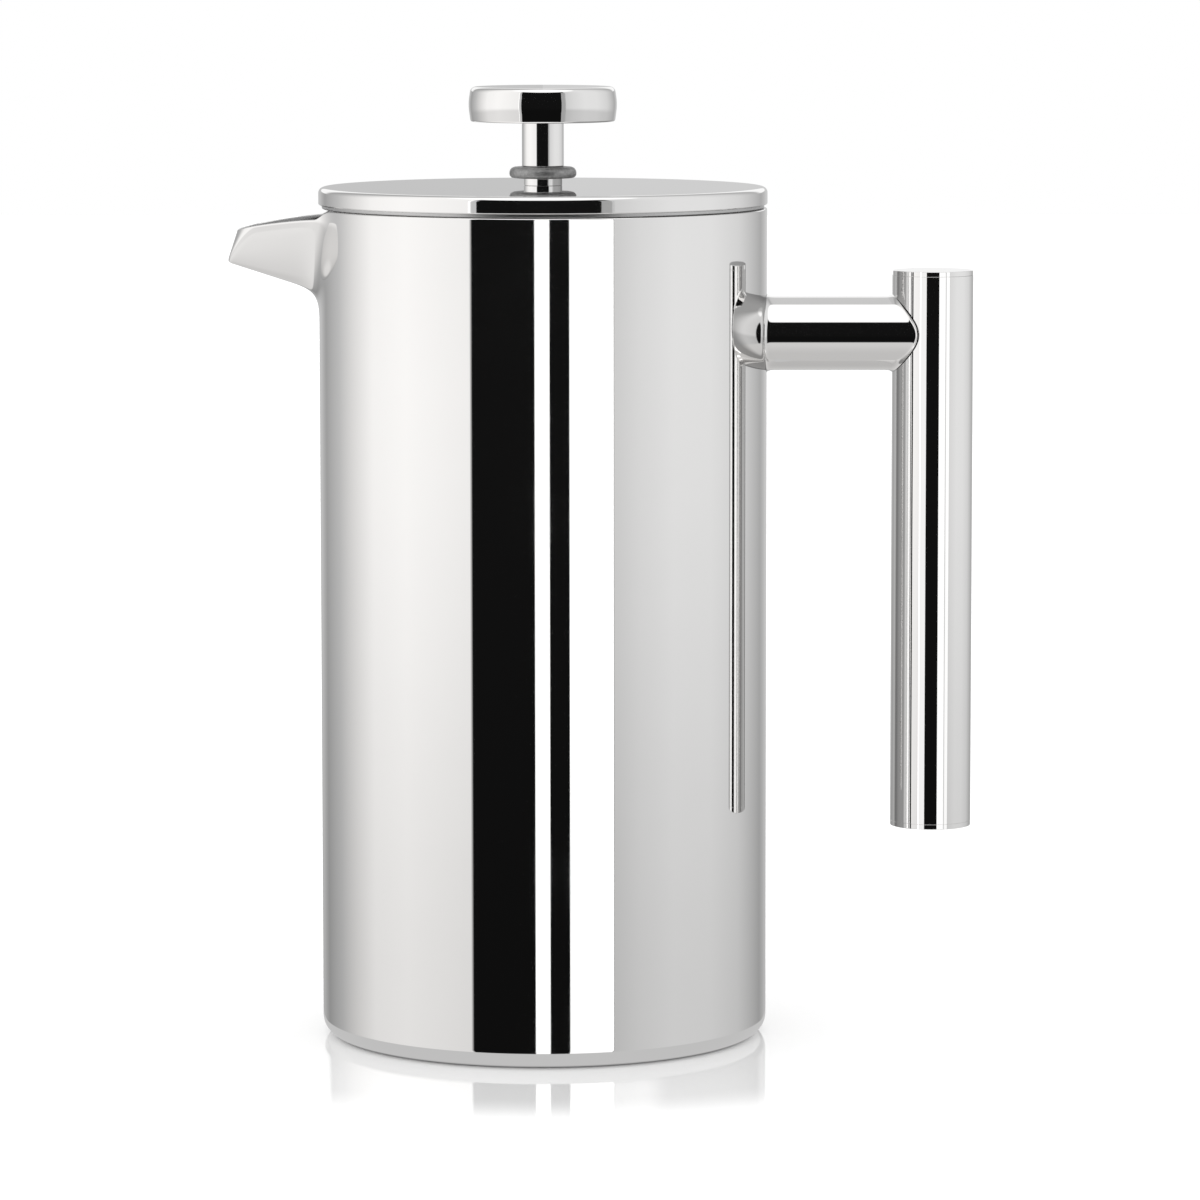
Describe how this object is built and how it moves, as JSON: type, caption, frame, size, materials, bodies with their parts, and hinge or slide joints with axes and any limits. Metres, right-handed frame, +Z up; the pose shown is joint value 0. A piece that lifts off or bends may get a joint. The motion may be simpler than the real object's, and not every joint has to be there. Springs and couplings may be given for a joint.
{
  "type": "french press",
  "caption": "Double-walled polished steel coffee press with a V spout, an upright tube handle on a short arm, a flat lid and a sliding plunger with a mesh filter.",
  "frame": {"origin": "on the jug's axis, at the foot that it stands on", "axes": "+Z up along the jug's axis, +X towards the handle, -X towards the spout"},
  "size_m": [0.175, 0.1052, 0.2235],
  "materials": {
    "polished_steel": "mirror-polished stainless steel",
    "brushed_steel": "brushed stainless steel",
    "satin_steel": "satin stainless steel",
    "woven_mesh": "fine woven stainless wire",
    "spring_wire": "bright drawn spring wire",
    "bush_plastic": "natural low-friction plastic"
  },
  "bodies": {
    "jug": {"outer_shell": "polished_steel", "base_plate": "brushed_steel", "inner_liner": "brushed_steel", "spout": "polished_steel", "handle_grip": "polished_steel", "handle_cap_top": "satin_steel", "handle_cap_bottom": "satin_steel", "handle_arm": "polished_steel", "handle_backing_plate": "brushed_steel"},
    "lid": {"lid_cap": "polished_steel", "lid_pan": "brushed_steel", "rod_guide": "satin_steel", "guide_washer": "brushed_steel", "guide_nut": "brushed_steel"},
    "bush": {"guide_bush": "bush_plastic"},
    "plunger": {"plunger_rod": "polished_steel", "knob_cap": "polished_steel", "knob_base": "polished_steel", "knob_stem": "polished_steel", "knob_nut": "brushed_steel", "cross_plate": "brushed_steel", "cross_hub": "brushed_steel", "mesh_screen": "woven_mesh", "edge_spring": "spring_wire", "spiral_plate": "brushed_steel", "rod_lock_nut": "brushed_steel"}
  },
  "joints": [
    {"name": "lid_lift", "type": "slide", "parent": "jug", "child": "lid", "axis": [0, 0, 1], "range_m": [0, 0.22]},
    {"name": "plunger_turn", "type": "hinge", "parent": "lid", "child": "bush", "pos_m": [0, 0, 0.2], "axis": [0, 0, 1], "continuous": true},
    {"name": "plunger_slide", "type": "slide", "parent": "bush", "child": "plunger", "axis": [0, 0, 1], "range_m": [0, 0.157]}
  ]
}
